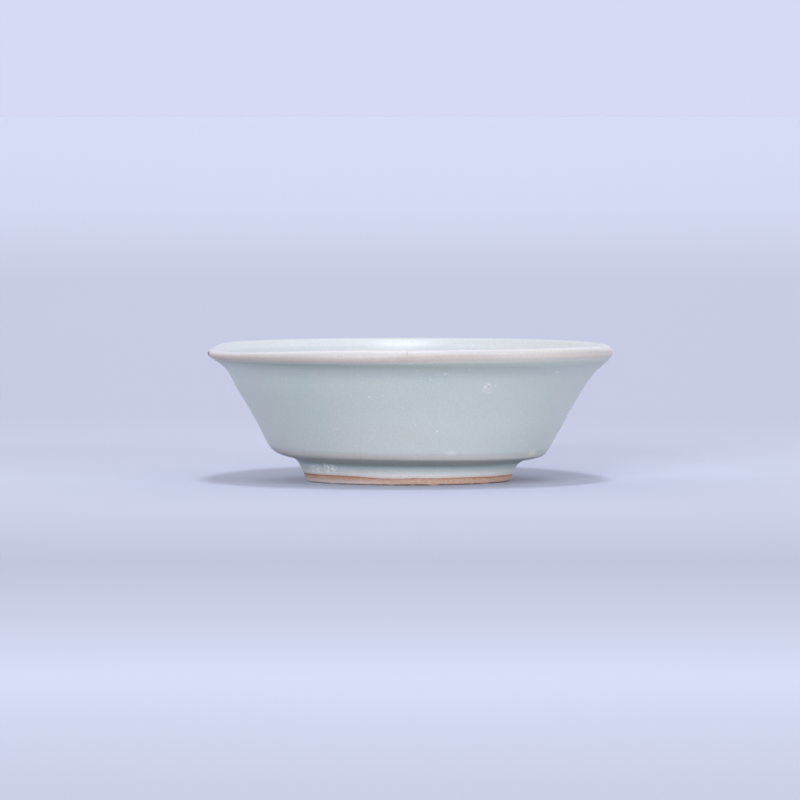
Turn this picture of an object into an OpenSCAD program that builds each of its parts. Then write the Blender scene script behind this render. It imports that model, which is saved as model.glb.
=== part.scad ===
// Brush washer: a shallow thrown bowl with a flaring lip, standing on a foot ring.
// The clay is glazed all over except for the tread of the foot, which the glaze stops short of.
// Millimetres, +Z up. The origin is on the axis, in the plane that the foot stands on.

/* [Mouth and lip] */
// Diameter across the lip, over the glaze
mouth_d = 120; // [110:1:140]
// Height from the tread of the foot to the top of the lip, over the glaze
height = 40.5; // [38:0.5:48]
// Height of the edge of the lip, from its top to where the flare meets it
lip_h = 2.8; // [2.5:0.1:3.3]
// Width of the lip across its top
lip_w = 3.3; // [2.8:0.1:3.8]
// Radius under the nose of the lip
nose_under_r = 1.9; // [0.8:0.1:3]
// Radius over the nose of the lip
nose_over_r = 2.1; // [0.8:0.1:2.4]
// Radius where the top of the lip rolls over into the well
lip_inner_r = 2.5; // [1:0.1:4]
// Depth below the top of the lip at which the wall starts to flare
flare_drop = 7.25; // [6.75:0.25:9.5]
// How far the lip reaches out past the start of the flare
flare_reach = 5.6; // [4:0.1:7]
// Radius of the bend where the flare starts
flare_r = 12; // [4:0.5:16]

/* [Wall and heel] */
// Thickness of the clay wall
wall_t = 2.3; // [1.8:0.1:3.2]
// How far the wall bows in from a straight line
wall_bow = 0.25; // [0.1:0.05:1]
// Radius of the bowed stretch of the wall
wall_bow_r = 100; // [40:5:160]
// Diameter of the heel, the turn between the underside and the wall
heel_d = 81; // [76:0.5:90]
// Height of the heel above the tread
heel_z = 8.6; // [7.6:0.1:10]
// Radius of the heel
heel_r = 2.6; // [1:0.1:5]

/* [Floor] */
// Thickness of the clay under the well
floor_t = 3.8; // [3:0.1:5]
// Radius of the turn between the floor of the well and its wall
floor_r = 6; // [2:0.5:9]

/* [Foot ring] */
// Diameter of the tread, outside
foot_d = 60.4; // [54:0.2:66]
// Width of the tread
foot_w = 4.6; // [3.6:0.1:6]
// Height of the foot ring, from the tread to the underside of the bowl
foot_h = 6.3; // [5:0.1:7]
// Lean of the outer side of the foot, in degrees
foot_batter = 17; // [8:1:24]
// Lean of the inner side of the foot, in degrees
recess_batter = 12; // [4:1:18]
// Radius of the edges of the tread
tread_r = 0.6; // [0.2:0.1:1.2]

/* [Glaze] */
// Height of the bare clay band at the foot
bare_h = 1.9; // [1.4:0.1:3]
// Depth of the glaze at the edge of the bare band
edge_glaze = 0.3; // [0.25:0.05:0.5]
// Depth of the glaze inside the foot ring
base_glaze_t = 0.5; // [0.3:0.05:0.8]
// Depth of the glaze on the outer wall and the underside
wall_glaze = 0.5; // [0.4:0.05:0.9]
// Depth of the glaze on the heel, where it runs thin
heel_glaze = 0.4; // [0.3:0.05:0.6]
// Depth of the glaze that gathers below the lip
gather_glaze = 0.65; // [0.5:0.05:1]
// Depth of the glaze on the lip, where it runs thin
lip_glaze_t = 0.3; // [0.25:0.05:0.45]
// Depth of the glaze on the wall of the well
well_glaze = 0.6; // [0.4:0.05:0.9]
// Depth of the glaze that lies on the floor of the well
floor_glaze = 0.8; // [0.5:0.05:1.2]
// Radius of the glaze that fills the corner between the foot and the bowl
foot_fill_r = 4.5; // [1:0.5:6]
// Radius of the glaze that fills the corner of the recess
recess_fill_r = 1.8; // [0.5:0.1:3]
// How far below the top the thin lip glaze reaches outside
lip_band_out = 4.1; // [3.8:0.1:4.9]
// How far below the top the thin lip glaze reaches inside
lip_band_in = 3.1; // [2.7:0.1:3.5]

/* [Hidden] */

// Largest angle between two points of a round, in degrees
arc_step = 6;
// Fewest stretches in a round
arc_min = 4;
// Share of a straight that the rounds at its two ends may take up together
arc_share = 0.96;
// Length below which a round is left out
no_round = 0.001;
// Sides of the preview of a turned piece
turn_sides = 240;

clay_mouth_r = mouth_d / 2 - lip_glaze_t;
clay_top = height - lip_glaze_t;
floor_z = foot_h + floor_t;
tread_out = foot_d / 2;
tread_in = tread_out - foot_w;

// Unit vector along v
function unit(v) = v / norm(v);

// Outward side of the stretch from a to b, on an outline that has the clay on its left
function outward(a, b) = unit([b.y - a.y, a.x - b.x]);

// Corner b of the outline a, b, c, moved outward so that both of its sides move by the depth
function moved(a, b, c, depth) =
    let (
        before = outward(a, b),
        middle = unit(before + outward(b, c))
    )
    b + middle * depth / (middle * before);

// Point at height z on the straight through a and b
function at_height(a, b, z) = a + (b - a) * (z - a.y) / (b.y - a.y);

// Angle through which a path turns at its corner k
function turn_at(path, k) =
    let (back = unit(path[k - 1] - path[k]), ahead = unit(path[k + 1] - path[k]))
    acos(max(-1, min(1, -back * ahead)));

// Length of straight that the round at corner k takes from each side, and none at a path's ends
function wanted(path, rounds, k) =
    k == 0 || k == len(path) - 1 || rounds[k] == 0 ? 0 : rounds[k] * tan(turn_at(path, k) / 2);

// Share of those lengths that fits on the straight from corner k to the next
function fitting(path, rounds, k) =
    let (both = wanted(path, rounds, k) + wanted(path, rounds, k + 1))
    both == 0 ? 1 : min(1, arc_share * norm(path[k + 1] - path[k]) / both);

// Points of the arc at corner k, or the corner alone where nothing is rounded
function rounded(path, rounds, k) =
    wanted(path, rounds, k) < no_round ? [path[k]] :
    let (
        back = unit(path[k - 1] - path[k]),
        ahead = unit(path[k + 1] - path[k]),
        turn = turn_at(path, k),
        reach = wanted(path, rounds, k) * min(fitting(path, rounds, k - 1), fitting(path, rounds, k)),
        radius = reach / tan(turn / 2),
        centre = path[k] + unit(back + ahead) * radius / cos(turn / 2),
        first = path[k] + back * reach - centre,
        final = path[k] + ahead * reach - centre,
        steps = max(arc_min, ceil(turn / arc_step))
    )
    [for (j = [0:steps])
        centre + (first * sin(turn * (1 - j / steps)) + final * sin(turn * j / steps)) / sin(turn)];

// A path from corner i to corner j with its rounds
function skin(path, rounds, i, j) = [
    for (k = [i:j]) each (k == i || k == j ? [path[k]] : rounded(path, rounds, k))
];

function backwards(path) = [for (k = [len(path) - 1:-1:0]) path[k]];

// Corners of the clay's outside, from the foot up to the lip
junction = [tread_out + foot_h * tan(foot_batter), foot_h];
heel = [heel_d / 2, heel_z];
flare = [clay_mouth_r - flare_reach, height - flare_drop];
wall_middle = (heel + flare) / 2 - outward(heel, flare) * 2 * wall_bow;
lip_under = [clay_mouth_r, height - lip_h];
lip_outer = [clay_mouth_r, clay_top];
lip_inner = [clay_mouth_r - lip_w, clay_top];

// Corners of the well, one wall's thickness in from the outside
well_flare = moved(wall_middle, flare, lip_under, -wall_t);
well_middle = moved(heel, wall_middle, flare, -wall_t);
well_corner = at_height(well_middle, well_middle + heel - wall_middle, floor_z);

// Corners of the recess inside the foot ring
recess_corner = [tread_in - foot_h * tan(recess_batter), foot_h];

// The whole outline, from the middle of the base out, up, over the lip and down to the floor.
// Each corner has its radius out, height, round in the clay, depth of glaze and round in the glaze.
corners = [
    [0, foot_h, 0, base_glaze_t, 0],
    [each recess_corner, 0, base_glaze_t, recess_fill_r],
    [each at_height(recess_corner, [tread_in, 0], bare_h), 0, edge_glaze, 0],
    [tread_in, 0, tread_r, 0, 0],
    [tread_out, 0, tread_r, 0, 0],
    [each at_height([tread_out, 0], junction, bare_h), 0, edge_glaze, 0],
    [each junction, 0, wall_glaze, foot_fill_r],
    [each heel, heel_r, heel_glaze, heel_r],
    [each wall_middle, wall_bow_r, wall_glaze, wall_bow_r],
    [each flare, flare_r, gather_glaze, flare_r],
    [each at_height(flare, lip_under, height - lip_band_out), 0, gather_glaze, 0],
    [each lip_under, nose_under_r, lip_glaze_t, nose_under_r],
    [each lip_outer, nose_over_r, lip_glaze_t, nose_over_r],
    [each lip_inner, lip_inner_r, lip_glaze_t, lip_inner_r],
    [each at_height(lip_inner, well_flare, height - lip_band_in), 0, lip_glaze_t, 0],
    [each well_flare, flare_r, well_glaze, flare_r],
    [each well_middle, wall_bow_r, well_glaze, wall_bow_r],
    [each well_corner, floor_r, floor_glaze, floor_r],
    [0, floor_z, 0, floor_glaze, 0]
];

// Places in that list where one piece ends and the next begins
base_centre = 0;
recess_top = 1;
glaze_line_in = 2;
glaze_line_out = 5;
foot_top = 6;
lip_start = 10;
lip_end = 14;
floor_centre = len(corners) - 1;

clay_path = [for (c = corners) [c[0], c[1]]];
clay_rounds = [for (c = corners) c[2]];
glaze_depths = [for (c = corners) c[3]];
glaze_rounds = [for (c = corners) c[4]];

// The same corners on the surface of the glaze. The first and the last lie on the axis.
glaze_path = [
    for (k = [0:floor_centre])
        k == base_centre ? clay_path[k] - [0, glaze_depths[k]] :
        k == floor_centre ? clay_path[k] + [0, glaze_depths[k]] :
        moved(clay_path[k - 1], clay_path[k], clay_path[k + 1], glaze_depths[k])
];

// Surfaces of the clay and of the glaze from corner i to corner j
function clay_skin(i, j) = skin(clay_path, clay_rounds, i, j);
function glaze_skin(i, j) = skin(glaze_path, glaze_rounds, i, j);

// A piece turned on the wheel from half its section
module turned(section) {
    rotate_extrude($fn = turn_sides) polygon(section);
}

// The layer of glaze between corners i and j
module glaze_layer(i, j) {
    turned(concat(glaze_skin(i, j), backwards(clay_skin(i, j))));
}

// Thrown bowl, with a flat place underneath for the foot ring
module clay_bowl() {
    color("#c9b8a4")
        turned(concat(
            [clay_path[base_centre]],
            clay_skin(foot_top, lip_start),
            clay_skin(lip_start, lip_end),
            clay_skin(lip_end, floor_centre)
        ));
}

// Foot ring, bare at the tread
module foot_ring() {
    color("#b98a72") turned(clay_skin(recess_top, foot_top));
}

// Glaze poured into the well
module inner_glaze() {
    color("#d5dcdf") glaze_layer(lip_end, floor_centre);
}

// Thin band of glaze over the lip, through which the clay shows warm
module lip_glaze() {
    color("#d8cdc9") glaze_layer(lip_start, lip_end);
}

// Glaze on the outside, from the gathered line below the lip down to the edge above the tread
module outer_glaze() {
    color("#b4c2c9") glaze_layer(glaze_line_out, lip_start);
}

// Glaze on the base, inside the foot ring
module base_glaze() {
    color("#aebdc4") glaze_layer(base_centre, glaze_line_in);
}

clay_bowl();
foot_ring();
inner_glaze();
lip_glaze();
outer_glaze();
base_glaze();
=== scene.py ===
import math

import bmesh
import bpy
import numpy as np
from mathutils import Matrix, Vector


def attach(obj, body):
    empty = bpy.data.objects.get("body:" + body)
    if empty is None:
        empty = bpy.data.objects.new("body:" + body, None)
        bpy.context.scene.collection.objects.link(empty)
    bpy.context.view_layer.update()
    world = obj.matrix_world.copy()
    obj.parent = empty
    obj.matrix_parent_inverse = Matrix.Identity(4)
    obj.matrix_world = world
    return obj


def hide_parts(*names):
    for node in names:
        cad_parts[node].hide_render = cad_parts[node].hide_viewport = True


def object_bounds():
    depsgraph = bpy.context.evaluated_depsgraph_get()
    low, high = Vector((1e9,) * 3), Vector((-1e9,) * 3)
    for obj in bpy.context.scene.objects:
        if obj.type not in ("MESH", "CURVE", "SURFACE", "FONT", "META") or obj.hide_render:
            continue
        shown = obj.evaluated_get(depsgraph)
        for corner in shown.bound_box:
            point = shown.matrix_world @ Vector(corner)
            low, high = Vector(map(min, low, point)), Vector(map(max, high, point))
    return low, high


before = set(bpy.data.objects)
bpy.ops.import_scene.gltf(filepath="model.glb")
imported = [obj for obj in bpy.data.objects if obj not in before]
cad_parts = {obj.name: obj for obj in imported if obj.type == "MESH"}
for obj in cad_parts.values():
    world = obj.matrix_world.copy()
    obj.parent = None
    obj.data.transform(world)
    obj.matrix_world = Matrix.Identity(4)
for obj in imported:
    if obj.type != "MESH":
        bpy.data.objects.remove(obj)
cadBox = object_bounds()
mm = 0.001
mouthRadius = cadBox[1].x
mouthTop = cadBox[1].z
print("frame: mouth", round(2 * mouthRadius / mm, 1), "mm, height", round(mouthTop / mm, 1), "mm")


# A socket with arithmetic: expressions on it add Math nodes to its tree.
class Wire:
    def __init__(self, tree, socket=None):
        self.tree = tree
        self.socket = socket

    def make(self, kind, settings=None, sockets=None, out=0):
        node = self.tree.nodes.new(kind)
        for name, value in (settings or {}).items():
            if name == "stops":
                self.setStops(node.color_ramp, value)
            else:
                setattr(node, name, value)
        for name, value in (sockets or {}).items():
            self.plug(node.inputs[name], value)
        return Wire(self.tree, node.outputs[out]) if len(node.outputs) else node

    def plug(self, target, value):
        if isinstance(value, Wire):
            self.tree.links.new(value.socket, target)
        else:
            target.default_value = value

    def setStops(self, ramp, stops):
        while len(ramp.elements) < len(stops):
            ramp.elements.new(1.0)
        for element, (place, colour) in zip(ramp.elements, stops):
            element.position = place
            element.color = (*colour, 1.0)

    def maths(self, operation, first, second=0.0):
        return self.make("ShaderNodeMath", {"operation": operation}, {0: first, 1: second})

    def __add__(self, other):
        return self.maths("ADD", self, other)

    def __radd__(self, other):
        return self.maths("ADD", other, self)

    def __sub__(self, other):
        return self.maths("SUBTRACT", self, other)

    def __rsub__(self, other):
        return self.maths("SUBTRACT", other, self)

    def __mul__(self, other):
        return self.maths("MULTIPLY", self, other)

    def __rmul__(self, other):
        return self.maths("MULTIPLY", other, self)

    def __truediv__(self, other):
        return self.maths("DIVIDE", self, other)

    def __pow__(self, other):
        return self.maths("POWER", self, other)

    # 0 below low, 1 above high, with soft ends
    def rise(self, low, high):
        return self.make("ShaderNodeMapRange", {"interpolation_type": "SMOOTHSTEP"},
                         {"Value": self, "From Min": low, "From Max": high}, "Result")

    # 1 between two soft ends, either of which may be left out
    def band(self, start, end):
        if end is None:
            return self.rise(*start)
        fall = 1 - self.rise(*end)
        return fall if start is None else self.rise(*start) * fall

    def noise(self, place, scale, detail=2.0, roughness=0.5, out="Fac"):
        return self.make("ShaderNodeTexNoise", {"noise_dimensions": "3D"},
                         {"Vector": place, "Scale": scale, "Detail": detail, "Roughness": roughness}, out)

    def blend(self, share, first, second, mode="MIX"):
        return self.make("ShaderNodeMix", {"data_type": "RGBA", "blend_type": mode},
                         {"Factor": share, 6: first, 7: second}, 2)

    def dimmed(self, colour, level):
        grey = self.make("ShaderNodeCombineXYZ", None, {"X": level, "Y": level, "Z": level})
        return self.blend(1.0, colour, grey, "MULTIPLY")

    def xyz(self, place):
        node = self.tree.nodes.new("ShaderNodeSeparateXYZ")
        self.plug(node.inputs[0], place)
        return [Wire(self.tree, output) for output in node.outputs]


def newMaterial(name):
    material = bpy.data.materials.new(name)
    material.use_nodes = True
    material.node_tree.nodes.clear()
    return material, Wire(material.node_tree)


def closeMaterial(wire, shader):
    wire.make("ShaderNodeOutputMaterial", None, {"Surface": shader})


# The view: from far off and almost level
viewpoint = {
    "distance": 2.2,
    "elevation": 2.25,            # degrees above level
    "aim": (-3.02 * mm, 0.0, 23.85 * mm),
    "mouthShare": 0.50625,        # of the picture's width that the mouth takes
    "sensor": 36.0,               # mm
    "clipEnd": 200.0,
}


def makeCamera(v):
    data = bpy.data.cameras.new("camera")
    camera = bpy.data.objects.new("camera", data)
    bpy.context.scene.collection.objects.link(camera)
    tilt = math.radians(v["elevation"])
    away = Vector((0.0, -math.cos(tilt), math.sin(tilt)))
    camera.location = Vector(v["aim"]) + away * v["distance"]
    camera.rotation_euler = (-away).to_track_quat("-Z", "Y").to_euler()
    data.sensor_width = v["sensor"]
    data.lens = data.sensor_width * v["distance"] * v["mouthShare"] / (2 * mouthRadius)
    data.clip_end = v["clipEnd"]
    bpy.context.scene.camera = camera


makeCamera(viewpoint)


# Light: an overhead key, two weak lamps behind, low fills from three sides, a pale surround
studio = {
    # the level on a white face turned to the lamp, and the lean towards +x and +y for each unit up
    "lamps": {
        "key": {"level": 0.28, "angle": 10.0, "lean": (0.045, -0.10), "colour": (0.96, 1.0, 1.06)},
        "behindLeft": {"level": 0.18, "angle": 70.0, "lean": (-0.9, 1.0)},
        "behindRight": {"level": 0.13, "angle": 70.0, "lean": (0.9, 1.0)},
        "fillMiddle": {"level": 0.07, "angle": 26.0, "lean": (0.1, -5.0)},
        "fillLeft": {"level": 0.49, "angle": 26.0, "lean": (-1.62, -3.65)},
        "fillRight": {"level": 0.60, "angle": 26.0, "lean": (6.8, -6.2)},
    },
    "surround": (0.362, 0.367, 0.387),
    "backdrop": (0.68, 0.70, 0.91),
}


def makeSun(name, lamp):
    data = bpy.data.lights.new(name, "SUN")
    data.energy = lamp["level"] * math.pi
    data.angle = math.radians(lamp["angle"])
    data.color = lamp.get("colour", (1.0, 1.0, 1.0))
    sun = bpy.data.objects.new(name, data)
    sun.rotation_euler = Vector((*lamp["lean"], 1.0)).to_track_quat("Z", "Y").to_euler()
    bpy.context.scene.collection.objects.link(sun)


def makeSurround(s):
    world = bpy.data.worlds.new("surround")
    world.use_nodes = True
    world.node_tree.nodes.clear()
    bpy.context.scene.world = world
    wire = Wire(world.node_tree)
    seen = wire.make("ShaderNodeLightPath", out="Is Camera Ray")
    mirrored = wire.make("ShaderNodeLightPath", out="Is Glossy Ray")
    through = wire.make("ShaderNodeLightPath", out="Is Transmission Ray")
    shown = wire.maths("MINIMUM", seen + mirrored + through, 1.0)
    colour = wire.blend(shown, (*s["surround"], 1.0), (*s["backdrop"], 1.0))
    light = wire.make("ShaderNodeBackground", None, {"Color": colour})
    wire.make("ShaderNodeOutputWorld", None, {"Surface": light})


for name, lamp in studio["lamps"].items():
    makeSun(name, lamp)
makeSurround(studio)
bpy.context.scene.view_settings.view_transform = "Standard"
print("camera and light made")


# The paper under the washer. Its tones are painted light and shade on plain paper, set along the way from the
# viewer, from 0 at the washer to 1 at the horizon, with painted shade falling off a little to both sides.
# Behind the washer it lifts a little.
floorPaper = {
    "reach": 90.0,
    "turn": 96,
    "lift": 4.2 * mm,
    "liftFrom": 32.0 * mm,
    "liftTo": 110.0 * mm,
    "liftRings": 27,
    "tint": (0.965, 1.003, 1.243),
    "fromEye": 0.3,               # metres, the least distance from the viewer that is counted
    "nearest": -0.85,
    # painted light and shade: the paper itself is plain
    "tones": (
        (-0.85, 0.595), (-0.66, 0.65), (-0.53, 0.705), (-0.37, 0.605), (-0.22, 0.53), (-0.08, 0.615),
        (0.03, 0.63), (0.13, 0.565), (0.52, 0.565), (0.72, 0.66), (1.0, 0.68),
    ),
    "sideFall": 2.6,
    "sideLimit": 0.04,
    "roughness": 0.9,
    "sheen": 0.1,
}


def softStep(share):
    return share * share * (3 - 2 * share)


def floorMesh(f):
    turn = f["turn"]
    rings = [*np.linspace(f["liftFrom"], f["liftTo"], f["liftRings"]), f["reach"]]
    points = [(0.0, 0.0, 0.0)]
    for reach in rings:
        share = min((reach - f["liftFrom"]) / (f["liftTo"] - f["liftFrom"]), 1.0)
        for i in range(turn):
            cosine = math.cos(2 * math.pi * i / turn)
            sine = math.sin(2 * math.pi * i / turn)
            lift = f["lift"] * softStep(share) * softStep(max(sine, 0.0))
            points.append((reach * cosine, reach * sine, lift))
    faces = [(0, 1 + i, 1 + (i + 1) % turn) for i in range(turn)]
    for ring in range(len(rings) - 1):
        inner = 1 + ring * turn
        for i in range(turn):
            after = (i + 1) % turn
            faces.append((inner + i, inner + turn + i, inner + turn + after, inner + after))
    mesh = bpy.data.meshes.new("floor")
    mesh.from_pydata(points, [], faces)
    mesh.polygons.foreach_set("use_smooth", [True] * len(faces))
    return mesh


def makeFloor(f):
    mesh = floorMesh(f)
    material, wire = newMaterial("floorPaper")
    across, away, _ = wire.xyz(wire.make("ShaderNodeTexCoord", out="Object"))
    fromEye = wire.maths("MAXIMUM", away + viewpoint["distance"], f["fromEye"])
    share = wire.maths("MAXIMUM", away / fromEye, f["nearest"])
    span = 1.0 - f["nearest"]
    stops = []
    for place, tone in f["tones"]:
        stops.append(((place - f["nearest"]) / span, [tone * part for part in f["tint"]]))
    paper = wire.make("ShaderNodeValToRGB", {"stops": stops}, {"Fac": (share - f["nearest"]) / span}, "Color")
    sideways = wire.maths("MINIMUM", (across / fromEye) ** 2.0, f["sideLimit"])
    colour = wire.dimmed(paper, 1 - sideways * f["sideFall"])
    closeMaterial(wire, wire.make("ShaderNodeBsdfPrincipled", None, {
        "Base Color": colour, "Roughness": f["roughness"], "Specular IOR Level": f["sheen"]}))
    mesh.materials.append(material)
    floor = bpy.data.objects.new("floor", mesh)
    bpy.context.scene.collection.objects.link(floor)


makeFloor(floorPaper)


# Half sections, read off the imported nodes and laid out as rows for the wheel
weld = 1e-7
sharpTurn = math.radians(35)
offTheClay = 0.1 * mm             # a run of a coat further off than this is its outer skin
fineStep = 0.02 * mm


def halfSection(node):
    cut = bmesh.new()
    cut.from_mesh(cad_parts[node].data)
    bmesh.ops.remove_doubles(cut, verts=cut.verts, dist=weld)
    # the cut at y = 0 alone, then the half of it on the right of the axis
    for normal, cutAlone in (((0, 1, 0), True), ((-1, 0, 0), False)):
        everything = cut.verts[:] + cut.edges[:] + cut.faces[:]
        bmesh.ops.bisect_plane(cut, geom=everything, dist=weld, plane_co=(0, 0, 0), plane_no=normal,
                               clear_inner=cutAlone, clear_outer=True)
    ends = [v for v in cut.verts if len(v.link_edges) == 1]
    here = min(ends or cut.verts, key=lambda v: (v.co.z, v.co.x))
    path, edge = [here], None
    while True:
        onward = [e for e in here.link_edges if e is not edge]
        if not onward:
            break
        edge = onward[0]
        here = edge.other_vert(here)
        if here is path[0]:
            break
        path.append(here)
    points = np.array([(v.co.x, v.co.z) for v in path])
    cut.free()
    closed = not ends
    if closed:
        after = np.roll(points, -1, axis=0)
        area = np.sum(points[:, 0] * after[:, 1] - after[:, 0] * points[:, 1])
        points = points if area > 0 else points[::-1]
    return points, closed


def runsOf(points, closed):
    before = np.roll(points, 1, axis=0)
    after = np.roll(points, -1, axis=0)
    comingIn = np.arctan2(*(points - before).T[::-1])
    goingOut = np.arctan2(*(after - points).T[::-1])
    turn = np.abs((goingOut - comingIn + math.pi) % (2 * math.pi) - math.pi)
    corners = [i for i in range(len(points)) if turn[i] > sharpTurn]
    if closed:
        points = np.roll(points, -corners[0], axis=0)
        points = np.vstack([points, points[:1]])
        corners = [i - corners[0] for i in corners] + [len(points) - 1]
    else:
        corners = sorted({0, len(points) - 1, *corners})
    return [points[a:b + 1] for a, b in zip(corners, corners[1:])]


def lengths(path):
    steps = np.linalg.norm(np.diff(path, axis=0), axis=1)
    return np.concatenate([[0.0], np.cumsum(steps)])


def evenly(path, step):
    along = lengths(path)
    count = max(1, round(along[-1] / step))
    wanted = np.linspace(0.0, along[-1], count + 1)
    return np.column_stack([np.interp(wanted, along, path[:, i]) for i in (0, 1)])


def cornersCut(path, rounds=3, cut=0.25):
    for _ in range(rounds):
        nearStart = (1 - cut) * path[:-1] + cut * path[1:]
        nearEnd = cut * path[:-1] + (1 - cut) * path[1:]
        inner = np.stack([nearStart, nearEnd], axis=1).reshape(-1, 2)
        path = np.vstack([path[:1], inner[1:-1], path[-1:]])
    return path


def distanceTo(paths, points):
    best = np.full(len(points), np.inf)
    for path in paths:
        for a, b in zip(path[:-1], path[1:]):
            span = b - a
            share = np.clip(((points - a) @ span) / max(span @ span, 1e-18), 0, 1)
            best = np.minimum(best, np.linalg.norm(points - a - share[:, None] * span, axis=1))
    return best


clayRuns = {node: runsOf(*halfSection(node)) for node in ("clay_bowl", "foot_ring")}
clayPaths = [run for runs in clayRuns.values() for run in runs]
coatOrder = ("outer_glaze", "lip_glaze", "inner_glaze")       # from the foot, over the lip, into the well
glazeRuns = {node: runsOf(*halfSection(node)) for node in (*coatOrder, "base_glaze")}


def skinIndex(node):
    offClay = []
    for i, run in enumerate(glazeRuns[node]):
        middle = evenly(run, lengths(run)[-1] / 2)[1:2]
        offClay.append(lengths(run)[-1] if distanceTo(clayPaths, middle)[0] > offTheClay else 0.0)
    return int(np.argmax(offClay))


skins = {node: skinIndex(node) for node in glazeRuns}


# The three outer coats are smoothed as one line, so that no seam shows where they meet
def smoothCoats():
    pieces = [glazeRuns[node][skins[node]] for node in coatOrder]
    joined = np.vstack([pieces[0], *[piece[1:] for piece in pieces[1:]]])
    line = evenly(cornersCut(joined), fineStep)
    cuts = [0]
    for piece in pieces[:-1]:
        cuts.append(int(np.argmin(np.linalg.norm(line - piece[-1], axis=1))))
    cuts.append(len(line) - 1)
    for node, a, b in zip(coatOrder, cuts, cuts[1:]):
        glazeRuns[node][skins[node]] = line[a:b + 1]
    base = skins["base_glaze"]
    glazeRuns["base_glaze"][base] = cornersCut(glazeRuns["base_glaze"][base])


def joinEnds(node):
    runs = glazeRuns[node]
    skin = skins[node]
    if skin > 0:
        runs[skin - 1] = np.vstack([runs[skin - 1][:-1], runs[skin][:1]])
    if skin < len(runs) - 1:
        runs[skin + 1] = np.vstack([runs[skin][-1:], runs[skin + 1][1:]])


smoothCoats()
for node in glazeRuns:
    joinEnds(node)
print("sections read:", {node: len(runs) for node, runs in {**clayRuns, **glazeRuns}.items()})


def rowsOf(runs, steps):
    rows = [evenly(run, step) for run, step in zip(runs, steps)]
    return np.vstack([rows[0], *[row[1:] for row in rows[1:]]])


# The wheel: turns a half section into a closed mesh, with the slips of a thrown pot
handThrown = {
    "Nose Drop": 0.25 * mm,       # the edge of the lip hangs this much lower all round
    "Nose Lift": 1.15 * mm,       # but stands higher by this at the right of the front
    "Left Droop": 0.30 * mm,      # and hangs lower still at the left end
    "Heel Tilt": 0.45 * mm,       # the heel lies this much lower on the right
    "Heel Dip": 0.52 * mm,        # and this much lower in front
    "Heel Lift": 0.22 * mm,       # but higher by this all round
    "Foot Shift": -0.55 * mm,     # the foot stands off the axis by this
    "Heel Shift": -0.33 * mm,     # and the heel by this
    "Heel Round": 0.24 * mm,      # taken off the corner of the heel
    "Heel Belly": 0.22 * mm,      # hanging down beside it
    "Lip Slope": 0.30 * mm,       # the top of the lip falls away this much at the right end
    "Crest Dip": 1.85 * mm,       # and its crest sinks by this at the left end
    "Lip Hook": 0.60 * mm,        # the wall under the lip drawn in on the left, out on the right
    "Well Fill": 0.30 * mm,       # the hollow inside the lip filled up by this much
    "Gather And Shade": 0.45 * mm,          # extra glaze depth in the hollow under the lip: partly gathered glaze, partly painted shade
    "Line Lift": 0.35 * mm,       # the glaze stops this much higher than on the plain section
    "Line Left": 0.45 * mm,       # and higher still on the left
    "Line Drip": 0.10 * mm,       # with one drip left of the middle
    "Line Wave": 0.20 * mm,
    "Wobble": 0.14 * mm,
    "Wobble Scale": 26.0,
    "Seed": 7.0,
}
rim = mouthRadius / mm
top = mouthTop / mm
# Heights in mm of the edge of the lip, and of the end of the glaze on the plain section
lipTip = 38.4
lineHeight = glazeRuns["outer_glaze"][skins["outer_glaze"]][0][1] / mm
wallFlare = 0.596                 # how far the wall leans out for each unit up
seamWeld = 1e-6

# Bands where a slip or a tint applies: where it comes in, and where it goes again.
# Up the section and out from the axis they are in mm. Across, they are on the cosine of the turn,
# from -1 at the left to 1 at the right. Along, they are on its sine, from -1 in front to 1 behind.
upBands = {
    "wobble": ((0.5, 8.6), None),
    "foot": (None, (3.5, 8.6)),
    "footTop": ((3.4, 4.6), (4.9, 5.7)),
    "line": (None, (lineHeight, lineHeight + 2.4)),
    "thinEdge": (None, (lineHeight, lineHeight + 1.2)),
    "underside": (None, (7.7, 8.6)),
    "heel": ((3.5, 8.6), (8.6, 22.0)),
    "heelShift": ((7.6, 9.2), (10.5, 18.0)),
    "heelCorner": ((7.8, 8.7), (9.0, 10.4)),
    "heelEdge": ((7.9, 8.6), (8.8, 10.2)),
    "heelBelly": (None, (8.6, 9.6)),
    "hook": ((27.0, 34.6), (34.6, lipTip)),
    "gatherAndShade": ((32.8, 36.3), None),
    "lowWell": ((22.0, 37.0), None),
    "highWell": ((37.0, 39.4), None),
    "hollow": ((35.0, 37.0), (37.7, 38.9)),
    "wellFill": ((34.6, 37.8), (37.8, 39.4)),
    "nose": ((35.3, lipTip), (lipTip, top)),
    "lip": ((36.1, 37.3), (38.7, 40.5)),
    "overLip": ((36.1, 37.3), None),
    "lipEdge": ((38.2, 38.7), None),
    "shoulder": ((37.3, 39.8), None),
    "crest": ((39.5, 40.3), None),
}
outBands = {
    "offAxis": ((4.0, 34.0), None),
    "underside": ((32.7, 34.7), None),
    "heelBelly": ((34.5, 38.0), (38.6, 40.4)),
    "heelCorner": ((38.0, 40.0), None),
    "heelEdge": ((39.5, 40.5), None),
    "outside": ((53.0, 56.0), None),
    "inside": (None, (55.5, 57.5)),
    "wellFill": (None, (55.6, 56.0)),
    "lip": ((rim - 3.2, rim - 1.6), None),
    "shoulder": ((rim - 4.5, rim - 0.7), None),
}
wellSide = (None, (32.3, 33.9))   # out from the axis, less the lean of the wall
acrossBands = {
    "lineLeft": (None, (-0.62, -0.22)),
    "hollow": (None, (0.05, 0.4)),
    "gatherAndShade": ((0.2, 0.9), None),
    "rightEnd": ((0.85, 1.0), None),
}
alongBands = {
    "heelDip": (None, (-0.85, 0.0)),
    "drip": (None, (-0.2, 0.2)),
    "crestDip": (None, (-0.05, 0.45)),
    "crest": (None, (-0.25, 0.35)),
}
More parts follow.
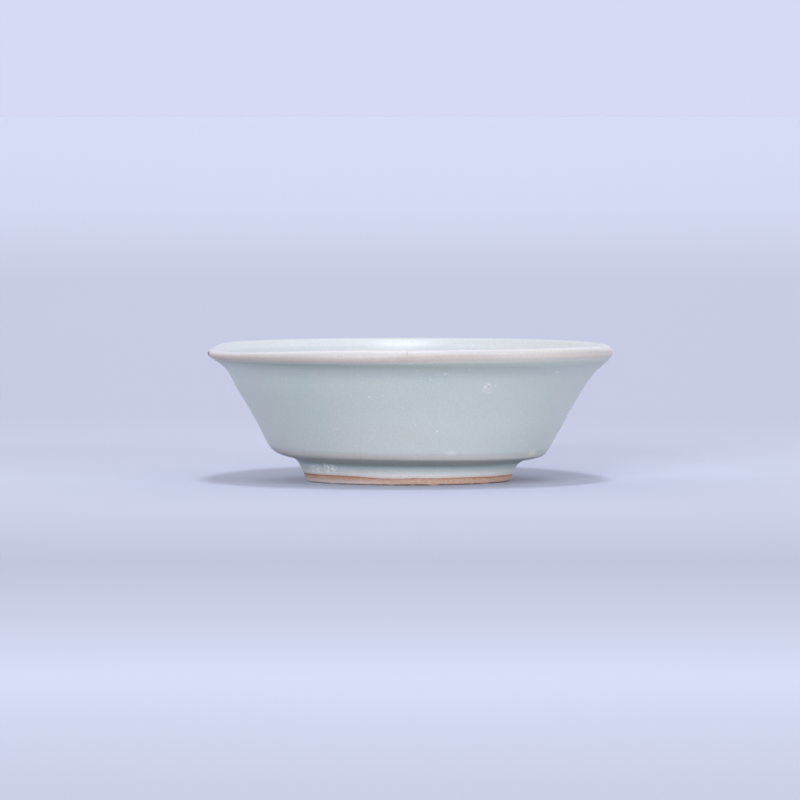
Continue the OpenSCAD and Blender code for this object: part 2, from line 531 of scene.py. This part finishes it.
# Sides of the pot are given as cosine and sine of the turn
noseRise = {"side": (0.64, -0.77), "band": ((0.55, 1.0), None)}
crestDip = {"side": (-0.985, -0.174), "start": 0.38, "shape": 1.5}
lineDrip = {"across": -0.15, "band": (None, (0.0, 0.26))}
lineWave = {"scale": 6.0, "detail": 4.0, "roughness": 0.62}
wobbleStretch = 0.6               # up the pot, against across it
gatherAndShading = {"shape": 2.2, "lessOnRight": 0.6}
tintShares = {"lipEdge": 0.3, "heelEdge": 0.55, "hollow": 0.8, "well": 0.5}
# lighter glaze on the top of the foot: partly thinner glaze, partly painted light
footThinAndLit = 0.05               # mm


# A point of the turned form, and how far it lies in each band
class TurnedPoint:
    def __init__(self, radius, height, angle):
        self.radius = radius
        self.height = height
        self.out = radius / mm
        self.up = height / mm
        self.cosine = angle.maths("COSINE", angle)
        self.sine = angle.maths("SINE", angle)

    def upBand(self, name):
        return self.up.band(*upBands[name])

    def outBand(self, name):
        return self.out.band(*outBands[name])

    def acrossBand(self, name):
        return self.cosine.band(*acrossBands[name])

    def alongBand(self, name):
        return self.sine.band(*alongBands[name])

    def facing(self, side):
        return self.cosine * side[0] + self.sine * side[1]


def wheelInputs(tree):
    face = tree.interface
    face.new_socket("Geometry", in_out="OUTPUT", socket_type="NodeSocketGeometry")
    face.new_socket("Section", in_out="INPUT", socket_type="NodeSocketGeometry")
    face.new_socket("Turn Points", in_out="INPUT", socket_type="NodeSocketInt")
    for name in (*handThrown, "Line Hold", "Line Batter"):
        face.new_socket(name, in_out="INPUT", socket_type="NodeSocketFloat")
    face.new_socket("Material", in_out="INPUT", socket_type="NodeSocketMaterial")
    given = tree.nodes.new("NodeGroupInput")
    return {output.name: Wire(tree, output) for output in given.outputs if output.name}


# One column of the grid for each step of the turn, one row for each point of the section
def turnedGrid(wire, take):
    rows = wire.make("GeometryNodeAttributeDomainSize", None, {"Geometry": take["Section"]}, "Point Count")
    grid = wire.make("GeometryNodeMeshGrid", None,
                     {"Vertices X": take["Turn Points"] + 1, "Vertices Y": rows}, "Mesh")
    index = wire.make("GeometryNodeInputIndex")
    column = wire.maths("FLOOR", (index + 0.5) / rows)
    row = index - column * rows

    def sampled(kind, value):
        return wire.make("GeometryNodeSampleIndex", {"data_type": kind},
                         {"Geometry": take["Section"], "Value": value, "Index": row}, "Value")

    radius, _, height = wire.xyz(sampled("FLOAT_VECTOR", wire.make("GeometryNodeInputPosition")))
    stored = wire.make("GeometryNodeInputNamedAttribute", {"data_type": "FLOAT"},
                       {"Name": "glazeDepth"}, "Attribute")
    angle = column * (2 * math.pi) / take["Turn Points"]
    return grid, TurnedPoint(radius, height, angle), sampled("FLOAT", stored)


def lipLift(wire, take, point):
    overNose = point.upBand("nose") * point.outBand("lip")
    raised = point.facing(noseRise["side"]).band(*noseRise["band"])
    nose = (take["Nose Lift"] * raised - take["Nose Drop"]) * overNose
    shoulder = point.upBand("shoulder") * point.outBand("shoulder")
    slope = take["Lip Slope"] * point.acrossBand("rightEnd") * shoulder
    start = crestDip["start"]
    turned = wire.maths("MAXIMUM", point.facing(crestDip["side"]) - start, 0.0) / (1 - start)
    leftEnd = turned ** crestDip["shape"] * point.alongBand("crestDip")
    crest = wire.maths("MAXIMUM", point.up - lipTip, 0.0) / (top - lipTip)
    return nose - slope - leftEnd * (take["Crest Dip"] * crest + take["Left Droop"] * overNose)


def heelDrop(take, point):
    dip = take["Heel Tilt"] * point.cosine + take["Heel Dip"] * point.alongBand("heelDip") - take["Heel Lift"]
    belly = take["Heel Belly"] * point.outBand("heelBelly") * point.upBand("heelBelly")
    return dip * point.upBand("heel") * point.outBand("offAxis") + belly


def sideSlip(take, point):
    heel = take["Heel Shift"] * point.upBand("heelShift") * point.outBand("offAxis")
    return take["Foot Shift"] * point.upBand("foot") + heel


def swelling(wire, take, point):
    place = wire.make("ShaderNodeCombineXYZ", None, {
        "X": point.radius * point.cosine,
        "Y": point.radius * point.sine + take["Seed"],
        "Z": point.height * wobbleStretch,
    })
    waver = (wire.noise(place, take["Wobble Scale"], 1.0) - 0.5) * 2 * take["Wobble"]
    wobble = waver * point.upBand("wobble") * point.outBand("offAxis")
    squeeze = take["Lip Hook"] * point.cosine * point.upBand("hook")
    filled = take["Well Fill"] * point.upBand("wellFill") * point.outBand("wellFill")
    rounded = take["Heel Round"] * point.upBand("heelCorner") * point.outBand("heelCorner")
    return wobble + squeeze - filled - rounded


# How much higher the glaze ends than on the plain section
def glazeEnd(wire, take, point):
    ring = wire.make("ShaderNodeCombineXYZ", None, {"X": point.cosine, "Y": point.sine, "Z": take["Seed"]})
    wave = (wire.noise(ring, **lineWave) - 0.5) * 2 * take["Line Wave"]
    fromDrip = wire.maths("ABSOLUTE", point.cosine - lineDrip["across"])
    drip = fromDrip.band(*lineDrip["band"]) * point.alongBand("drip")
    left = take["Line Left"] * point.acrossBand("lineLeft")
    return take["Line Lift"] + left - take["Line Drip"] * drip + wave


# What the materials read off each point: the depth of the glaze in mm, and how far each tint applies
def lookFields(take, point, depth, line):
    # darker in the hollow under the lip, less on the right: partly gathered glaze, partly painted shade
    gatheredAndShaded = point.upBand("gatherAndShade") ** gatherAndShading["shape"] * (1 - point.upBand("overLip"))
    weaker = point.acrossBand("gatherAndShade") * gatherAndShading["lessOnRight"]
    gatheredAndShaded = gatheredAndShaded * point.outBand("outside") * (1 - weaker)
    inWell = point.outBand("inside") * (point.out - point.up * wallFlare).band(*wellSide)
    # lighter up the well: partly glaze draining off it, partly a painted highlight high inside the lip
    upTheWell = (point.upBand("lowWell") + point.upBand("highWell")) * tintShares["well"]
    # a darker ring just inside the lip: painted shade below that painted highlight
    hollow = point.upBand("hollow") * point.acrossBand("hollow") * inWell
    lip = point.upBand("lip") * point.outBand("lip") * (1 - point.upBand("lipEdge") * tintShares["lipEdge"])
    heel = point.upBand("heelEdge") * point.outBand("heelEdge") * tintShares["heelEdge"]
    return {
        "glazeDepth": depth + take["Gather And Shade"] / mm * gatheredAndShaded - point.upBand("footTop") * footThinAndLit,
        "warmEdge": lip + heel,
        # where the painted shade under the heel goes
        "underside": point.outBand("underside") * point.upBand("underside"),
        "belowLine": lineHeight + line / mm - point.up,
        "thinEdge": point.upBand("thinEdge"),
        "rimward": inWell * upTheWell * (1 - hollow * tintShares["hollow"]),
        # painted highlight along the crest of the lip, at the front only
        "crestLine": point.upBand("crest") * point.alongBand("crest"),
        "hollow": hollow,
    }


def wheelTree():
    tree = bpy.data.node_groups.new("wheel", "GeometryNodeTree")
    take = wheelInputs(tree)
    wire = Wire(tree)
    grid, point, depth = turnedGrid(wire, take)
    line = glazeEnd(wire, take, point)
    runUp = line * point.upBand("line") * take["Line Hold"]
    reach = point.radius + swelling(wire, take, point) + runUp * take["Line Batter"]
    thrown = wire.make("ShaderNodeCombineXYZ", None, {
        "X": reach * point.cosine + sideSlip(take, point),
        "Y": reach * point.sine,
        "Z": point.height + lipLift(wire, take, point) - heelDrop(take, point) + runUp,
    })
    shaped = wire.make("GeometryNodeSetPosition", None, {"Geometry": grid, "Position": thrown})
    for name, value in lookFields(take, point, depth, line).items():
        shaped = wire.make("GeometryNodeStoreNamedAttribute", {"data_type": "FLOAT", "domain": "POINT"},
                           {"Geometry": shaped, "Name": name, "Value": value})
    closed = wire.make("GeometryNodeMergeByDistance", None, {"Geometry": shaped, "Distance": seamWeld})
    smooth = wire.make("GeometryNodeSetShadeSmooth", None, {"Geometry": closed, "Shade Smooth": True})
    real = wire.make("GeometryNodeRealizeInstances", None, {"Geometry": smooth})
    painted = wire.make("GeometryNodeSetMaterial", None, {"Geometry": real, "Material": take["Material"]})
    wire.make("NodeGroupOutput", None, {"Geometry": painted})
    return tree


wheel = wheelTree()


def turnOnWheel(name, rows, depths, material, turnPoints, batter=None):
    section = bpy.data.meshes.new(name + "Section")
    section.from_pydata([(r, 0.0, z) for r, z in rows], [(i, i + 1) for i in range(len(rows) - 1)], [])
    section.attributes.new("glazeDepth", "FLOAT", "POINT").data.foreach_set("value", depths / mm)
    blank = bpy.data.objects.new(name + "Blank", section)
    bpy.context.scene.collection.objects.link(blank)
    turning = blank.modifiers.new("wheel", "NODES")
    turning.node_group = wheel
    settings = {"Turn Points": turnPoints, "Material": material, **handThrown,
                "Line Hold": 0.0 if batter is None else 1.0, "Line Batter": batter or 0.0}
    for item in wheel.interface.items_tree:
        if item.in_out == "INPUT" and item.name in settings:
            turning[item.identifier] = settings[item.name]
    graph = bpy.context.evaluated_depsgraph_get()
    mesh = bpy.data.meshes.new_from_object(blank.evaluated_get(graph), depsgraph=graph)
    bpy.data.objects.remove(blank)
    mesh.name = name
    mesh.set_sharp_from_angle(angle=sharpTurn)
    piece = bpy.data.objects.new(name, mesh)
    bpy.context.scene.collection.objects.link(piece)
    print("turned", name, len(rows), "rows,", sum(len(p.vertices) - 2 for p in mesh.polygons), "triangles")
    return piece


# Glaze: its colour follows its depth, warm over the edge of the lip, blue-green where it pools.
# Places are in mm, and a share is the most that a tint brings of its colour.
glazeLook = {
    "deepest": 2.0,               # mm at the end of the ramp
    "byDepth": (                  # depth in mm, colour
        (0.28, (0.585, 0.606, 0.628)),
        (0.36, (0.565, 0.590, 0.610)),
        (0.40, (0.487, 0.515, 0.508)),
        (0.455, (0.462, 0.498, 0.480)),
        (0.62, (0.447, 0.489, 0.469)),
        (0.80, (0.394, 0.433, 0.406)),
        (1.10, (0.306, 0.350, 0.318)),
        (1.60, (0.215, 0.290, 0.265)),
    ),
    "patches": {"scale": 130.0, "detail": 3.0, "roughness": 0.55},
    "patchDepth": 0.06,           # mm that the patches add to the depth or take off it
    # up the inside to the lip, partly glaze draining off it and partly a painted highlight; just inside the
    # lip, painted shade
    "rim": {"colour": (0.562, 0.586, 0.606), "share": 0.85},
    "hollow": {"colour": (0.492, 0.524, 0.548), "share": 0.85},
    # broad patches, greener or warmer
    "mottle": {"scale": 45.5, "span": (0.5, 0.72),
               "green": (0.965, 1.005, 0.99), "warm": (1.015, 1.0, 0.992)},
    # over the edge of the lip, weaker on the right, then cream towards its ends, and a painted highlight
    # along its top at the front
    "edge": {"colour": (0.452, 0.390, 0.348), "share": 0.95, "right": (0.0, 40.0), "lessOnRight": 0.36,
             "even": 0.8, "patchy": 0.4},
    "cream": {"colour": (0.625, 0.550, 0.485), "share": 0.65, "right": (20.0, 45.0), "left": (-56.0, -42.0),
              "leftShare": 0.7, "up": (36.6, 38.2)},
    # painted highlight along the crest
    "crest": {"colour": (0.700, 0.665, 0.665), "share": 0.55},
    # over the foot, where the glaze runs together; under the heel, painted shade; and in the corner between
    # them, pooled green glaze darkened by painted shade, whose share is of a mask that reaches a quarter at
    # most
    "pool": {"colour": (0.376, 0.470, 0.492), "share": 1.0, "even": 0.35, "patchy": 0.8,
             "depth": (0.42, 0.72), "up": (6.0, 7.0)},
    "shade": {"colour": (0.243, 0.258, 0.224), "share": 0.85},
    "corner": {"colour": (0.190, 0.266, 0.222), "share": 2.6, "up": (6.2, 7.0)},
    # where it thins out above the bare clay
    "ending": {"colour": (0.570, 0.478, 0.432), "share": 0.8},
    "speckle": {"scale": 1700.0, "detail": 2.0, "roughness": 0.6},
    "speckleDepth": 0.25,
    "bubbles": {"colour": (0.70, 0.72, 0.70), "share": 0.38, "scale": 520.0, "size": (0.085, 0.17),
                "often": 0.22, "soft": 0.02},
    "ragged": {"scale": 900.0, "amount": 0.9 * mm},
    "waves": {"scale": 420.0, "detail": 3.0, "roughness": 0.55},
    "bump": {"Strength": 1.0, "Distance": 0.012 * mm},
    "thin": (0.3, 0.42),          # depth
    "roughness": {"plain": 0.33, "thin": 0.02, "edge": 0.25, "patches": 0.04, "residue": 0.35},
}
# Marks on the front of the glaze: middle and half sizes in mm
glazeMarks = (
    {"at": (22.7, -48.5, 28.8), "half": (2.4, 4.0, 2.1), "colour": (0.535, 0.525, 0.545), "share": 0.55},
    {"at": (21.7, -48.5, 29.6), "half": (0.6, 4.0, 0.8), "colour": (0.70, 0.72, 0.74), "share": 0.55},
    {"at": (22.9, -48.5, 30.2), "half": (0.7, 4.0, 0.4), "colour": (0.66, 0.69, 0.70), "share": 0.6},
    {"at": (24.6, -48.5, 29.6), "half": (0.5, 4.0, 0.6), "colour": (0.64, 0.68, 0.67), "share": 0.6},
    {"at": (21.4, -48.5, 28.3), "half": (0.9, 4.0, 0.4), "colour": (0.68, 0.66, 0.67), "share": 0.5},
    {"at": (22.7, -48.5, 27.8), "half": (0.9, 4.0, 0.5), "colour": (0.68, 0.66, 0.71), "share": 0.5},
    # the dark dot in the scar's middle is painted shade of its pit
    {"at": (22.7, -48.5, 29.6), "half": (0.4, 4.0, 0.45), "colour": (0.33, 0.35, 0.35), "share": 0.85},
    {"at": (10.3, -54.5, 33.5), "half": (1.0, 4.0, 0.3), "colour": (0.66, 0.69, 0.68), "share": 0.6},
    {"at": (-11.9, -49.5, 26.6), "half": (0.36, 4.0, 0.34), "colour": (0.70, 0.72, 0.71), "share": 0.6},
    {"at": (7.8, -44.5, 16.5), "half": (0.4, 4.0, 0.38), "colour": (0.70, 0.72, 0.71), "share": 0.6},
    {"at": (42.8, -36.0, 33.4), "half": (1.1, 4.0, 0.35), "colour": (0.64, 0.66, 0.65), "share": 0.6},
    {"at": (35.7, -19.6, 9.2), "half": (2.0, 4.5, 1.0), "colour": (0.68, 0.63, 0.52), "share": 0.6},
    {"at": (11.6, -40.0, 9.9), "half": (2.4, 4.0, 0.9), "colour": (0.66, 0.67, 0.65), "share": 0.4},
    {"at": (-19.0, -24.5, 4.3), "half": (6.0, 6.0, 1.3), "colour": (0.57, 0.60, 0.61), "share": 0.35},
    {"at": (-28.8, -9.0, 5.1), "half": (1.9, 6.0, 0.5), "colour": (0.28, 0.39, 0.35), "share": 0.6},
    {"at": (-0.9, -59.0, 39.4), "half": (0.35, 3.0, 1.0), "colour": (0.30, 0.31, 0.42), "share": 0.6},
    {"at": (-59.5, -4.6, 37.8), "half": (1.4, 5.0, 1.0), "colour": (0.12, 0.06, 0.035), "share": 1.0},
)
# White residue dried on the foot, cracked into flakes
residue = {
    "colour": (0.80, 0.815, 0.81),
    "share": 0.9,
    "spots": (
        {"at": (-23.4, -21.3, 4.8), "half": (3.1, 6.0, 2.5), "share": 1.0},
        {"at": (-27.2, -15.2, 4.6), "half": (3.2, 6.5, 2.0), "share": 0.9},
    ),
    "flakes": 1100.0,
    "cracks": (0.03, 0.16),
    "gaps": {"scale": 900.0, "span": (0.36, 0.52)},
    "relief": 3.0,
}
spotEdge = (0.45, 1.0)            # where a spot fades out, as a share of its half sizes
raggedNoise = {"detail": 2.0, "roughness": 0.6}


def spot(wire, place, mark):
    offset = wire.make("ShaderNodeVectorMath", {"operation": "SUBTRACT"},
                       {0: place, 1: [part * mm for part in mark["at"]]})
    scaled = wire.make("ShaderNodeVectorMath", {"operation": "DIVIDE"},
                       {0: offset, 1: [part * mm for part in mark["half"]]})
    away = wire.make("ShaderNodeVectorMath", {"operation": "LENGTH"}, {0: scaled}, "Value")
    return away.band(None, spotEdge)


# The place shifted at random by up to about the amount, which frays the edges of spots
def ragged(wire, place, scale, amount):
    noise = wire.noise(place, scale, **raggedNoise, out="Color")
    offset = wire.make("ShaderNodeVectorMath", {"operation": "SUBTRACT"}, {0: noise, 1: (0.5, 0.5, 0.5)})
    return wire.make("ShaderNodeVectorMath", {"operation": "MULTIPLY_ADD"},
                     {0: offset, 1: (amount, amount, amount), 2: place})


def attribute(wire, name):
    return wire.make("ShaderNodeAttribute",
                     {"attribute_name": name, "attribute_type": "GEOMETRY"}, None, "Fac")


def tinted(wire, colour, share, look):
    return wire.blend(share * look["share"], colour, (*look["colour"], 1.0))


def cellsOf(wire, place, scale, feature):
    cells = wire.tree.nodes.new("ShaderNodeTexVoronoi")
    cells.feature = feature
    wire.plug(cells.inputs["Vector"], place)
    wire.plug(cells.inputs["Scale"], scale)
    return {output.name: Wire(wire.tree, output) for output in cells.outputs}


def finishCeramic(wire, colour, roughness, bump, relief, sheen=0.5):
    normal = wire.make("ShaderNodeBump", None, {**bump, "Height": relief})
    closeMaterial(wire, wire.make("ShaderNodeBsdfPrincipled", None, {
        "Base Color": colour, "Roughness": roughness, "Normal": normal, "Specular IOR Level": sheen}))


def depthColour(wire, g, depth):
    stops = [(mark / g["deepest"], colour) for mark, colour in g["byDepth"]]
    return wire.make("ShaderNodeValToRGB", {"stops": stops}, {"Fac": depth / g["deepest"]}, "Color")


def mottled(wire, m, colour, place):
    broad = wire.noise(place, m["scale"])
    colour = wire.blend(broad.rise(*m["span"]), colour, (*m["green"], 1.0), "MULTIPLY")
    return wire.blend((1 - broad).rise(*m["span"]), colour, (*m["warm"], 1.0), "MULTIPLY")


def edgeShare(wire, e, across, patchy):
    edge = attribute(wire, "warmEdge") * (1 - across.rise(*e["right"]) * e["lessOnRight"])
    return wire.maths("MINIMUM", edge * (e["even"] + patchy * e["patchy"]), 1.0)


def lipTints(wire, g, colour, across, height, edge):
    colour = tinted(wire, colour, edge, g["edge"])
    c = g["cream"]
    atEnds = across.rise(*c["right"]) + across.band(None, c["left"]) * c["leftShare"]
    colour = tinted(wire, colour, edge * atEnds * height.rise(*c["up"]), c)
    return tinted(wire, colour, attribute(wire, "crestLine"), g["crest"])


def footTints(wire, g, colour, height, depth, patchy):
    p = g["pool"]
    pooled = depth.rise(*p["depth"]) * height.band(None, p["up"])
    colour = tinted(wire, colour, pooled * (p["even"] + patchy * p["patchy"]), p)
    # painted shade under the heel, and painted shade over the pooled green glaze in the corner
    under = attribute(wire, "underside")
    colour = tinted(wire, colour, under, g["shade"])
    inCorner = under * (1 - under) * height.band(None, g["corner"]["up"])
    colour = tinted(wire, colour, inCorner, g["corner"])
    return tinted(wire, colour, attribute(wire, "thinEdge"), g["ending"])


def bubbleDots(wire, b, place):
    cells = cellsOf(wire, place, b["scale"], "F1")
    pick, _, _ = wire.xyz(cells["Color"])
    rare = 1 - b["often"]
    return cells["Distance"].band(None, b["size"]) * pick.rise(rare, rare + b["soft"])


def crustOf(wire, r, place, loose):
    flake = cellsOf(wire, loose, r["flakes"], "DISTANCE_TO_EDGE")["Distance"].rise(*r["cracks"])
    first, second = [spot(wire, loose, mark) * mark["share"] for mark in r["spots"]]
    return (first + second) * wire.noise(place, r["gaps"]["scale"]).rise(*r["gaps"]["span"]) * flake


def glazeMaterial(g, marks, r):
    material, wire = newMaterial("celadon")
    place = wire.make("ShaderNodeTexCoord", out="Object")
    across, _, height = [part / mm for part in wire.xyz(place)]
    depth = attribute(wire, "glazeDepth")
    patchy = wire.noise(place, **g["patches"])
    edge = edgeShare(wire, g["edge"], across, patchy)
    colour = depthColour(wire, g, depth + (patchy - 0.5) * g["patchDepth"])
    # lighter up the inside, partly thinner glaze and partly a painted highlight, with a ring of painted shade
    # just inside the lip
    colour = tinted(wire, colour, attribute(wire, "rimward"), g["rim"])
    colour = tinted(wire, colour, attribute(wire, "hollow"), g["hollow"])
    colour = mottled(wire, g["mottle"], colour, place)
    colour = lipTints(wire, g, colour, across, height, edge)
    colour = footTints(wire, g, colour, height, depth, patchy)
    colour = wire.dimmed(colour, 1 + (wire.noise(place, **g["speckle"]) - 0.5) * g["speckleDepth"])
    colour = tinted(wire, colour, bubbleDots(wire, g["bubbles"], place) * (1 - edge), g["bubbles"])
    loose = ragged(wire, place, **g["ragged"])
    for mark in marks:
        colour = tinted(wire, colour, spot(wire, loose, mark), mark)
    crust = crustOf(wire, r, place, loose)
    colour = tinted(wire, colour, crust, r)

    rough = g["roughness"]
    roughness = rough["plain"] + depth.band(None, g["thin"]) * rough["thin"] + edge * rough["edge"]
    roughness = roughness + (patchy - 0.5) * rough["patches"] + crust * rough["residue"]
    relief = wire.noise(place, **g["waves"]) + crust * r["relief"]
    finishCeramic(wire, colour, roughness, g["bump"], relief)
    return material


# Bare clay at the foot: an orange-brown flash below the glaze, paler buff towards the tread
bareLook = {
    "buff": (0.448, 0.288, 0.220),
    "ash": (0.505, 0.368, 0.305),
    "grit": {"scale": 1500.0, "detail": 3.0, "roughness": 0.65},
    "gritSpan": (0.35, 0.7),
    "streaks": {"scale": 320.0, "detail": 3.0, "roughness": 0.6},
    # mm below the glaze for the flash and the scorched patches
    "flash": {"colour": (0.405, 0.178, 0.103), "share": 1.0, "below": (0.15, 0.95), "streaky": 1.3,
              "middle": 0.3, "sides": 0.52, "out": (3.0, 19.0)},
    "scorch": {"colour": (0.200, 0.105, 0.070), "share": 0.6, "below": (0.05, 0.5), "scale": 260.0,
               "span": (0.46, 0.62)},
    # pale dust low on the left, and painted shade broken up along the tread, where it meets the floor
    "dust": {"colour": (0.57, 0.51, 0.51), "share": 0.85, "up": (0.7, 1.5), "across": (-22.0, 2.0)},
    "treadShade": {"colour": (0.11, 0.085, 0.08), "share": 1.0, "up": (0.15, 0.62), "streaky": 0.5, "scale": 210.0,
             "span": (0.28, 0.5), "left": 0.5, "moreOnRight": 0.4, "across": (-24.0, -4.0)},
    "speck": {"colour": (0.10, 0.06, 0.05), "share": 0.55, "scale": 2100.0, "detail": 1.0,
              "span": (0.70, 0.78)},
    "lumps": 480.0,
    "relief": {"grit": 0.6, "lumps": 0.4, "specks": 0.5},
    "bump": {"Strength": 0.45, "Distance": 0.25 * mm},
    "roughness": 0.85,
    "sheen": 0.3,
}
footSpeck = {"at": (18.7, -24.4, 1.7), "half": (0.5, 0.8, 0.3), "colour": (0.10, 0.06, 0.05), "share": 0.85}
footRagged = {"scale": 900.0, "amount": 0.6 * mm}


def flashShare(wire, f, across, below, streaks):
    sides = wire.maths("ABSOLUTE", across).rise(*f["out"])
    band = (below + (streaks - 0.5) * f["streaky"]).band(None, f["below"])
    return band * (f["middle"] + sides * f["sides"])


# painted shade low on the tread, broken up, more on the right
def treadShadeShare(wire, d, place, across, height, streaks):
    shadeLow = (height + (streaks - 0.5) * d["streaky"]).band(None, d["up"])
    broken = wire.noise(place, d["scale"]).rise(*d["span"])
    return shadeLow * broken * (d["left"] + across.rise(*d["across"]) * d["moreOnRight"])


def bareMaterial(b):
    material, wire = newMaterial("bareClay")
    place = wire.make("ShaderNodeTexCoord", out="Object")
    across, _, height = [part / mm for part in wire.xyz(place)]
    below = attribute(wire, "belowLine")
    streaks = wire.noise(place, **b["streaks"])
    grit = wire.noise(place, **b["grit"])
    colour = wire.blend(grit.rise(*b["gritSpan"]), (*b["buff"], 1.0), (*b["ash"], 1.0))
    colour = tinted(wire, colour, flashShare(wire, b["flash"], across, below, streaks), b["flash"])
    patches = wire.noise(place, b["scorch"]["scale"]).rise(*b["scorch"]["span"])
    colour = tinted(wire, colour, below.band(None, b["scorch"]["below"]) * patches, b["scorch"])
    dusty = height.band(None, b["dust"]["up"]) * across.band(None, b["dust"]["across"])
    colour = tinted(wire, colour, dusty, b["dust"])
    colour = tinted(wire, colour, treadShadeShare(wire, b["treadShade"], place, across, height, streaks), b["treadShade"])
    specks = wire.noise(place, b["speck"]["scale"], b["speck"]["detail"]).rise(*b["speck"]["span"])
    colour = tinted(wire, colour, specks, b["speck"])
    colour = tinted(wire, colour, spot(wire, ragged(wire, place, **footRagged), footSpeck), footSpeck)
    r = b["relief"]
    relief = grit * r["grit"] + wire.noise(place, b["lumps"]) * r["lumps"] - specks * r["specks"]
    finishCeramic(wire, colour, b["roughness"], b["bump"], relief, b["sheen"])
    return material


# Fired stoneware under the glaze
stonewareLook = {
    "dark": (0.50, 0.40, 0.33),
    "light": (0.62, 0.53, 0.45),
    "grain": {"scale": 900.0, "detail": 3.0, "roughness": 0.6},
    "grainSpan": (0.3, 0.7),
    "bump": {"Strength": 0.3, "Distance": 0.2 * mm},
    "roughness": 0.9,
}


def stonewareMaterial(s):
    material, wire = newMaterial("stoneware")
    grain = wire.noise(wire.make("ShaderNodeTexCoord", out="Object"), **s["grain"])
    colour = wire.blend(grain.rise(*s["grainSpan"]), (*s["dark"], 1.0), (*s["light"], 1.0))
    finishCeramic(wire, colour, s["roughness"], s["bump"], grain)
    return material


celadon = glazeMaterial(glazeLook, glazeMarks, residue)
bareClay = bareMaterial(bareLook)
stoneware = stonewareMaterial(stonewareLook)
print("materials made")

# The pieces: steps along the section in mm, on the outer skin and on the hidden back.
# The batter is how far the wall of the foot leans out for each unit up, where the glaze ends.
wheelWork = {
    "outer_glaze": {"name": "wallGlaze", "skin": 0.26, "back": 1.2, "slot": "celadon_glaze", "batter": 0.306},
    "lip_glaze": {"name": "lipGlaze", "skin": 0.14, "back": 0.5, "slot": "thin_glaze"},
    "inner_glaze": {"name": "wellGlaze", "skin": 0.42, "back": 2.0, "slot": "celadon_glaze"},
    "base_glaze": {"name": "baseGlaze", "skin": 0.35, "back": 1.5, "slot": "celadon_glaze", "batter": -0.21},
}
glazeTurn = 384

for node, work in wheelWork.items():
    steps = [work["skin"] * mm if i == skins[node] else work["back"] * mm
             for i in range(len(glazeRuns[node]))]
    rows = rowsOf(glazeRuns[node], steps)
    depths = distanceTo(clayPaths, rows)
    piece = turnOnWheel(work["name"], rows, depths, celadon, glazeTurn, work.get("batter"))
    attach(piece, "root")
    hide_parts(node)

clayWork = {
    "clay_bowl": {"name": "bowlClay", "step": 0.9, "turn": 192, "slot": "stoneware", "look": stoneware},
    "foot_ring": {"name": "footClay", "step": 0.2, "turn": 384, "slot": "bare_foot", "look": bareClay},
}
for node, work in clayWork.items():
    rows = rowsOf(clayRuns[node], [work["step"] * mm] * len(clayRuns[node]))
    piece = turnOnWheel(work["name"], rows, np.zeros(len(rows)), work["look"], work["turn"])
    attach(piece, "root")
    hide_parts(node)
